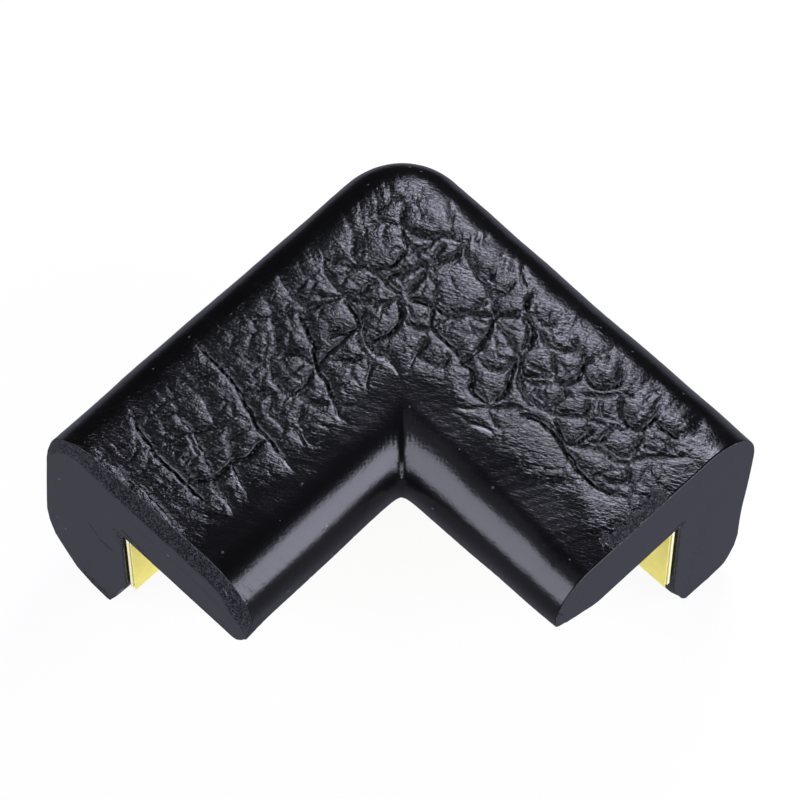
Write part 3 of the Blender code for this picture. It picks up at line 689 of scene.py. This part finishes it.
def make_moulding(material):
    """The foam moulding: its section swept round the corner, creased on top and closed at the cut ends.

    Each row of the grid runs from one cut end to the other, and each column is one section. Points move
    along their normals by the creases' relief, the slack, the frayed feet and the streaks.
    """
    mid, left, right = (rounded_section(s) for s in (MID_SECTION, LEFT_SECTION, RIGHT_SECTION))
    rows = len(mid)
    share = np.linspace(-1, 1, 2 * HALF_COLUMNS + 1)
    on_right = share >= 0
    u, z = sections_along(mid, left, right, share)

    bevel = BEVEL_WIDTH * smoothstep(left[:, 1], *BEVEL_HEIGHTS) * smoothstep(left[:, 0], *BEVEL_INSET)
    bevel *= BEVEL_NARROW + BEVEL_GROWTH * smoothstep(left[:, 0], 0, BEVEL_WIDE_AT)
    end_left = LEFT_LENGTH - BEVEL_SETBACK * bevel / BEVEL_WIDTH - RIM_LENGTH
    end_right = np.full(rows, RIGHT_LENGTH - RIM_LENGTH)
    far = np.where(on_right, end_right[:, None], end_left[:, None])
    inner = np.maximum(CORNER_RADIUS - u, 0)
    half_path = np.where(inner > 0, far - CORNER_RADIUS + inner * math.pi / 4, far - u)
    along = half_path * np.abs(share)
    to_end = half_path - along
    points = swept_place(u, z, along, on_right)

    p = (points[..., 0] + points[..., 1]) * ROOT_HALF
    q = (points[..., 1] - points[..., 0]) * ROOT_HALF
    leather = leather_mask(u, z, p, q, to_end, on_right)
    height_map, mark_map = crease_maps()
    relief = sample_map(height_map, p, q) * leather
    mark = sample_map(mark_map, p, q) * leather
    under_tape = (u > FLAT_INSET[0]) & (u < FLAT_INSET[1]) & (z < FLAT_TOP)
    slack = SLACK_HEIGHT * fractal_noise(p + z, q, SLACK_SIZE, seed=131, octaves=2)
    slack = np.where(under_tape, 0, slack)
    fray = np.exp(-to_end / FRAY_REACH) * smoothstep(FRAY_TOP - z, 0, FRAY_EASE) * FRAY_HEIGHT
    fray = fray * fractal_noise(u, z, FRAY_SIZE, seed=151, octaves=3)
    streaks = STREAK_HEIGHT * fractal_noise(u + 3 * q, p / 5, STREAK_SIZE, seed=171, octaves=2)
    streaks = streaks * (1 - leather)
    normals = grid_normals(points)
    points = points + normals * (relief + slack * (1 - leather) + fray + streaks)[..., None]
    torn = torn_patch(p, q, z)
    pits = 1 + lattice_noise(p, q, PATCH_PIT_SIZE, seed=197)
    points = points - normals * (PATCH_DEPTH * torn * pits)[..., None]

    columns = points.shape[1]
    index = np.arange(rows * columns).reshape(rows, columns)
    following = np.roll(index, -1, 0)
    faces = np.stack([index[:, :-1], following[:, :-1], following[:, 1:], index[:, 1:]], -1)
    faces = faces.reshape(-1, 4).tolist()
    blocks = [points.reshape(-1, 3)]
    layers = {"leather": [leather.ravel()], "mark": [mark.ravel()], "cut": [np.zeros(leather.size)],
              "pores": [torn.ravel()]}
    for column, section, end_bevel, shift, outward in (
        (0, left, bevel, LEFT_LENGTH - end_left, np.array([0.0, -1.0, 0.0])),
        (columns - 1, right, np.zeros(rows), RIGHT_LENGTH - end_right, np.array([1.0, 0.0, 0.0])),
    ):
        next_number = sum(len(block) for block in blocks)
        rings, ring_layers, ring_faces = close_cut(
            points[:, column], index[:, column], next_number, section, end_bevel, shift, outward)
        blocks += rings
        faces += ring_faces
        for layer, values in ring_layers.items():
            layers[layer].append(values)
    attributes = {name: np.concatenate(values) for name, values in layers.items()}
    return make_object("foam_moulding", np.vstack(blocks), faces, material, attributes, sharp=60)


def make_strip(name, plan, heights, material):
    """A flat strip: its plan outline, in millimetres, drawn from one height to the other."""
    plan = np.array(plan, float)
    count = len(plan)
    points = np.vstack([np.column_stack([plan, np.full(count, z)]) for z in heights])
    sides = [(i, (i + 1) % count, count + (i + 1) % count, count + i) for i in range(count)]
    faces = [tuple(range(count))[::-1], tuple(range(count, 2 * count))] + sides
    return make_object(name, points, faces, material, sharp=30)


class Nodes:
    """Adds and joins shader nodes in one tree."""

    def __init__(self, tree):
        self.tree = tree

    def add(self, kind, inputs=None, **settings):
        """A node of this kind, with its settings and its inputs, which are values or other nodes' outputs."""
        node = self.tree.nodes.new(kind)
        for key, value in settings.items():
            setattr(node, key, value)
        for key, value in (inputs or {}).items():
            if isinstance(value, bpy.types.NodeSocket):
                self.tree.links.new(value, node.inputs[key])
            else:
                node.inputs[key].default_value = value
        return node

    def link(self, output, node_input):
        """Links an output to an input."""
        self.tree.links.new(output, node_input)

    def group(self, tree, inputs):
        """The outputs of a node group with these inputs."""
        return self.add("ShaderNodeGroup", inputs, node_tree=tree).outputs

    def times(self, a, b, clamp=False):
        """The product of two values."""
        return self.math("MULTIPLY", a, b, clamp)

    def without(self, value):
        """One minus a value."""
        return self.math("SUBTRACT", 1.0, value)

    def math(self, operation, a, b=0.0, clamp=False):
        """The output of a math node."""
        return self.add("ShaderNodeMath", {0: a, 1: b}, operation=operation, use_clamp=clamp).outputs[0]

    def vector(self, operation, a, b):
        """The output of a vector math node."""
        return self.add("ShaderNodeVectorMath", {0: a, 1: b}, operation=operation).outputs[0]

    def dot(self, a, b):
        """The dot product of two vectors."""
        return self.add("ShaderNodeVectorMath", {0: a, 1: b}, operation="DOT_PRODUCT").outputs["Value"]

    def largest(self, values):
        """The largest of several values."""
        total = values[0]
        for value in values[1:]:
            total = self.math("MAXIMUM", total, value)
        return total

    def mix(self, factor, a, b):
        """The output of a colour mix."""
        node = self.add("ShaderNodeMix", {0: factor, 6: a, 7: b}, data_type="RGBA")
        return node.outputs[2]

    def ramp(self, value, low, high, to_low=0.0, to_high=1.0):
        """A clamped linear map of a value."""
        names = {"Value": value, "From Min": low, "From Max": high, "To Min": to_low, "To Max": to_high}
        return self.add("ShaderNodeMapRange", names, clamp=True).outputs[0]


def new_group(name, vectors, floats, results):
    """A shader node group with these vector and float inputs and these float outputs.

    Gives its node kit, the sockets that its inputs come from and the sockets that its outputs go to.
    """
    tree = bpy.data.node_groups.new(name, "ShaderNodeTree")
    for labels, in_out, kind in (
        (vectors, "INPUT", "NodeSocketVector"),
        (floats, "INPUT", "NodeSocketFloat"),
        (results, "OUTPUT", "NodeSocketFloat"),
    ):
        for label in labels:
            tree.interface.new_socket(label, in_out=in_out, socket_type=kind)
    kit = Nodes(tree)
    return kit, kit.add("NodeGroupInput").outputs, kit.add("NodeGroupOutput").inputs


def skin_grain_group():
    """Fine parallel wrinkles, pebbles and grain of the skin, as a height from 0 to 1."""
    kit, given, result = new_group("skin_grain", ["Position"], [], ["Height"])
    position = given["Position"]
    turn = (0, 0, math.radians(-28))
    turned = kit.add("ShaderNodeMapping", {"Vector": position, "Rotation": turn}).outputs[0]
    stretched = kit.add("ShaderNodeMapping", {"Vector": turned, "Scale": (1200, 3600, 1800)}).outputs[0]
    wrinkles = kit.add("ShaderNodeTexNoise", {"Vector": stretched, "Scale": 1.0, "Detail": 2.0,
                                              "Roughness": 0.55, "Distortion": 0.6})
    pebbles = kit.add("ShaderNodeTexVoronoi", {"Vector": position, "Scale": 3300.0})
    height = kit.math("SUBTRACT", kit.times(wrinkles.outputs["Fac"], 0.8),
                      kit.times(pebbles.outputs["Distance"], 0.2))
    kit.link(height, result["Height"])
    return kit.tree


def open_cells_group():
    """Torn open cells of the foam: a height, a darkness that is painted shade in the deepest part of the open
    pits, and a light fringe, all from 0 to 1.
    """
    kit, given, result = new_group("open_cells", ["Position"], ["Scale"], ["Height", "Dark", "Light"])
    position = given["Position"]
    cells = kit.add("ShaderNodeTexVoronoi", {"Vector": position, "Scale": given["Scale"]})
    pick = kit.add("ShaderNodeSeparateColor", {"Color": cells.outputs["Color"]})
    patches = kit.add("ShaderNodeTexNoise", {"Vector": position, "Scale": 800.0, "Detail": 1.0})
    fringe = kit.add("ShaderNodeTexNoise", {"Vector": position, "Scale": 4200.0, "Detail": 2.0,
                                            "Roughness": 0.7})
    height = kit.ramp(cells.outputs["Distance"], 0.1, 0.6)
    open_share = kit.ramp(patches.outputs["Fac"], 0.35, 0.62, 0.65, 1.0)
    open_cell = kit.math("LESS_THAN", pick.outputs[0], open_share)
    # Painted shade: darkest at the middle of each open cell, where its pit is deepest.
    dark = kit.times(kit.ramp(cells.outputs["Distance"], 0.7, 0.48), open_cell)
    light = kit.ramp(fringe.outputs["Fac"], 0.57, 0.72)
    kit.link(height, result["Height"])
    kit.link(dark, result["Dark"])
    kit.link(light, result["Light"])
    return kit.tree


def specks_group():
    """Sparse small specks, as a mask."""
    kit, given, result = new_group("specks", ["Position"], ["Scale", "Size"], ["Mask"])
    cells = kit.add("ShaderNodeTexVoronoi", {"Vector": given["Position"],
                                             "Scale": given["Scale"]})
    pick = kit.add("ShaderNodeSeparateColor", {"Color": cells.outputs["Color"]})
    chosen = kit.math("GREATER_THAN", pick.outputs[0], 0.8)
    near = kit.math("LESS_THAN", cells.outputs["Distance"], given["Size"])
    kit.link(kit.times(chosen, near), result["Mask"])
    return kit.tree


def stroke_group():
    """A stroke from one place to another, as a mask that fades at the half width plus a given spread."""
    kit, given, result = new_group(
        "stroke", ["Position", "Start", "End"], ["Half Width", "Spread"], ["Mask"])
    from_start = kit.vector("SUBTRACT", given["Position"], given["Start"])
    line = kit.vector("SUBTRACT", given["End"], given["Start"])
    share = kit.math("DIVIDE", kit.dot(from_start, line), kit.dot(line, line), clamp=True)
    on_line = kit.add("ShaderNodeVectorMath", {0: line, "Scale": share}, operation="SCALE").outputs[0]
    gap = kit.vector("SUBTRACT", from_start, on_line)
    length = kit.add("ShaderNodeVectorMath", {0: gap}, operation="LENGTH").outputs["Value"]
    relative = kit.math("DIVIDE", length, given["Half Width"])
    relative = kit.math("ADD", relative, given["Spread"])
    kit.link(kit.ramp(relative, 1.0, 0.6), result["Mask"])
    return kit.tree


def new_material(name):
    """A material with its node kit, its Principled node and the object position."""
    material = bpy.data.materials.new(name)
    material.use_nodes = True
    kit = Nodes(material.node_tree)
    shader = material.node_tree.nodes["Principled BSDF"]
    position = kit.add("ShaderNodeTexCoord").outputs["Object"]
    return material, kit, shader, position


def foam_material(grain, cells, specks, stroke):
    """Skinned foam: satin black skin, and matt grey foam where it is cut, with painted shade in the crease
    lines, the open pits and the cracks.
    """
    material, kit, shader, position = new_material("black_foam")
    leather, mark, cut, pores = (
        kit.add("ShaderNodeAttribute", attribute_name=name).outputs["Fac"]
        for name in ("leather", "mark", "cut", "pores")
    )
    uncut = kit.without(cut)
    grain_height = kit.group(grain, {"Position": position})["Height"]
    cell = kit.group(cells, {"Position": position, "Scale": CELL_SCALE})
    speck = kit.group(specks, {"Position": position, "Scale": SPECK_SCALE, "Size": SPECK_SIZE})["Mask"]
    edge_noise = kit.add("ShaderNodeTexNoise", {"Vector": position, "Scale": 2200.0, "Detail": 2.0})
    edge = kit.math("SUBTRACT", edge_noise.outputs["Fac"], 0.5)

    def strokes(marks):
        """The largest of the masks of these strokes."""
        return kit.largest([
            kit.group(stroke, {
                "Position": position, "Start": [v * MM for v in start], "End": [v * MM for v in end],
                "Half Width": half_width * MM, "Spread": kit.times(edge, ragged)})["Mask"]
            for start, end, half_width, ragged in marks
        ])

    cracks, torn_spots, scratches, roughened = (
        strokes(marks) for marks in (CRACKS, TORN_SPOTS, SCRATCHES, ROUGHENED))
    torn_face = kit.times(roughened, kit.ramp(cell["Height"], 0.2, 0.7))
    crease = kit.times(kit.ramp(mark, *CREASE_EDGE), uncut)
    open_foam = kit.math("MAXIMUM", pores, torn_spots)

    # Painted shade: the skin is darkened along the crease lines.
    skin = kit.mix(crease, SKIN, CREASE_SHADE)
    skin = kit.mix(kit.times(speck, kit.without(leather)), skin, SKIN_SPECK)
    face = kit.mix(speck, FACE, FACE_SPECK)
    face = kit.mix(kit.times(torn_face, 0.45), face, FACE_DARK)
    face = kit.mix(kit.times(roughened, cell["Light"]), face, FACE_LIGHT)
    torn = kit.mix(cell["Light"], TORN, TORN_LIGHT)
    # Painted shade in the pits of the open cells.
    torn = kit.mix(cell["Dark"], torn, PIT_SHADE)
    colour = kit.mix(kit.math("GREATER_THAN", cut, 0.5), skin, face)
    fringe = kit.times(kit.times(cut, uncut), 3.0, clamp=True)
    colour = kit.mix(kit.times(fringe, cell["Light"]), colour, FRINGE)
    colour = kit.mix(open_foam, colour, torn)
    # Painted shade: the cracks are darkened in colour.
    colour = kit.mix(cracks, colour, CRACK_SHADE)
    colour = kit.mix(kit.times(scratches, kit.ramp(cell["Light"], 0, 1, 0.35, 1)), colour, SCRATCH)
    kit.link(colour, shader.inputs["Base Color"])

    skin_rough = kit.ramp(leather, 0, 1, SMOOTH_ROUGHNESS, LEATHER_ROUGHNESS)
    matt = kit.largest([cut, open_foam, cracks])
    rough = kit.add("ShaderNodeMix", {0: matt, 2: skin_rough, 3: CUT_ROUGHNESS}).outputs[0]
    kit.link(rough, shader.inputs["Roughness"])

    grain_size = kit.ramp(leather, 0, 1, SMOOTH_GRAIN * MM, LEATHER_GRAIN * MM)
    skin_height = kit.times(grain_height, grain_size)
    skin_height = kit.math("SUBTRACT", skin_height, kit.times(crease, CREASE_DEPTH * MM))
    skin_height = kit.times(skin_height, uncut)
    rough_height = kit.times(cell["Height"], pores)
    height = kit.math("ADD", skin_height, kit.times(rough_height, PORE_DEPTH * MM))
    bump = kit.add("ShaderNodeBump", {"Height": height, "Strength": 1.0, "Distance": 1.0})
    kit.link(bump.outputs["Normal"], shader.inputs["Normal"])
    shader.inputs["IOR"].default_value = FOAM_IOR
    return material


def paper_material(name, colours, roughness):
    """Waxed paper or tape: a faint mottle of two colours."""
    material, kit, shader, position = new_material(name)
    mottle = kit.add("ShaderNodeTexNoise", {"Vector": position, "Scale": 500.0, "Detail": 3.0})
    shade = kit.mix(kit.ramp(mottle.outputs["Fac"], 0.35, 0.65), *colours)
    kit.link(shade, shader.inputs["Base Color"])
    shader.inputs["Roughness"].default_value = roughness
    return material


def add_camera():
    """The photo's view: from inside the corner and above, with a long lens."""
    across = Vector((math.cos(CAMERA_AZIMUTH), math.sin(CAMERA_AZIMUTH), 0.0))
    level = Vector((across.y, -across.x, 0.0)) * math.cos(CAMERA_ELEVATION)
    back = level + Vector((0.0, 0.0, math.sin(CAMERA_ELEVATION)))
    up = back.cross(across)
    aim = (Vector(CAMERA_AIM) + across * AIM_SHIFT[0] + up * AIM_SHIFT[1]) * MM
    data = bpy.data.cameras.new("camera")
    data.lens = CAMERA_LENS
    data.sensor_width = 36.0
    data.clip_start = 0.01
    camera = bpy.data.objects.new("camera", data)
    turn = Matrix((across, up, back)).transposed().to_4x4()
    camera.matrix_world = Matrix.Translation(aim + back * CAMERA_DISTANCE * MM) @ turn
    bpy.context.scene.collection.objects.link(camera)
    bpy.context.scene.camera = camera


def add_lamp(name, heading, distance, width, height, radiance):
    """A soft rectangular lamp, slightly blue, that faces the object."""
    p, q, up = Vector(heading).normalized()
    place = Vector(((p - q) * ROOT_HALF, (p + q) * ROOT_HALF, up)) * distance
    data = bpy.data.lights.new(name, "AREA")
    data.shape = "RECTANGLE"
    data.size, data.size_y = width, height
    data.energy = radiance * math.pi * width * height
    data.color = LAMP_COLOUR
    lamp = bpy.data.objects.new(name, data)
    lamp.location = place
    lamp.rotation_euler = place.to_track_quat("Z", "Y").to_euler()
    bpy.context.scene.collection.objects.link(lamp)


def add_lights():
    """The lamps, in a dim room that the camera sees white."""
    for name, settings in LAMPS.items():
        add_lamp(name, *settings)
    world = bpy.data.worlds.new("room")
    world.use_nodes = True
    background = world.node_tree.nodes["Background"]
    background.inputs["Color"].default_value = (1, 1, 1, 1)
    kit = Nodes(world.node_tree)
    seen = kit.add("ShaderNodeLightPath").outputs["Is Camera Ray"]
    kit.link(kit.ramp(seen, 0, 1, ROOM_LIGHT, 1.0), background.inputs["Strength"])
    bpy.context.scene.world = world


def add_floor():
    """A small card, white to the camera, bluish and dimmer to sheens, and seen through from below."""
    plan = np.array(FLOOR_PLAN)
    p, q = plan[:, 0] * ROOT_HALF, plan[:, 1] * ROOT_HALF
    points = np.stack([p - q, p + q, np.full(4, FLOOR_HEIGHT)], -1)
    material, kit, shader, _ = new_material("white_card")
    shader.inputs["Base Color"].default_value = (0.85, 0.85, 0.85, 1)
    shader.inputs["Roughness"].default_value = 1.0
    path = kit.add("ShaderNodeLightPath").outputs
    mirrored = kit.math("MAXIMUM", path["Is Glossy Ray"], path["Is Transmission Ray"])
    tint = kit.mix(mirrored, (1, 1, 1, 1), (0.9, 0.9, 1.12, 1))
    strength = kit.ramp(mirrored, 0, 1, 1.0, FLOOR_SHEEN)
    glow = kit.add("ShaderNodeEmission", {"Color": tint, "Strength": strength}).outputs[0]
    share = kit.math("MAXIMUM", kit.times(path["Is Camera Ray"], FLOOR_WHITE), mirrored)
    mixed = kit.add("ShaderNodeMixShader", {0: share, 1: shader.outputs[0], 2: glow}).outputs[0]
    below = kit.add("ShaderNodeNewGeometry").outputs["Backfacing"]
    clear = kit.add("ShaderNodeBsdfTransparent").outputs[0]
    surface = kit.add("ShaderNodeMixShader", {0: below, 1: mixed, 2: clear}).outputs[0]
    kit.link(surface, material.node_tree.nodes["Material Output"].inputs["Surface"])
    floor = make_object("white_card", points, [(0, 1, 2, 3)], material)


def main():
    """Dress the frame."""
    foam = foam_material(skin_grain_group(), open_cells_group(), specks_group(), stroke_group())
    liner = paper_material("yellow_release_paper", LINER_COLOURS, LINER_ROUGHNESS)
    tape = paper_material("adhesive_tape", TAPE_COLOURS, TAPE_ROUGHNESS)

    moulding = make_moulding(foam)
    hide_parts("foam_body")
    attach(moulding, "root")

    for name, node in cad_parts.items():
        for word, material in (("tape", tape), ("liner", liner)):
            if word in name:
                node.data.materials.clear()
                node.data.materials.append(material)

    for name, heights, material, plan in (
        ("right_tape_strip", TAPE_HEIGHTS, tape, RIGHT_TAPE_PLAN),
        ("right_liner_strip", LINER_HEIGHTS, liner, RIGHT_LINER_PLAN),
    ):
        strip = make_strip(name, plan, heights, material)
        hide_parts("flange_tape_right" if "tape" in name else "flange_liner_right")
        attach(strip, "root")

    add_camera()
    add_lights()
    add_floor()
    bpy.context.scene.view_settings.view_transform = "Standard"


main()
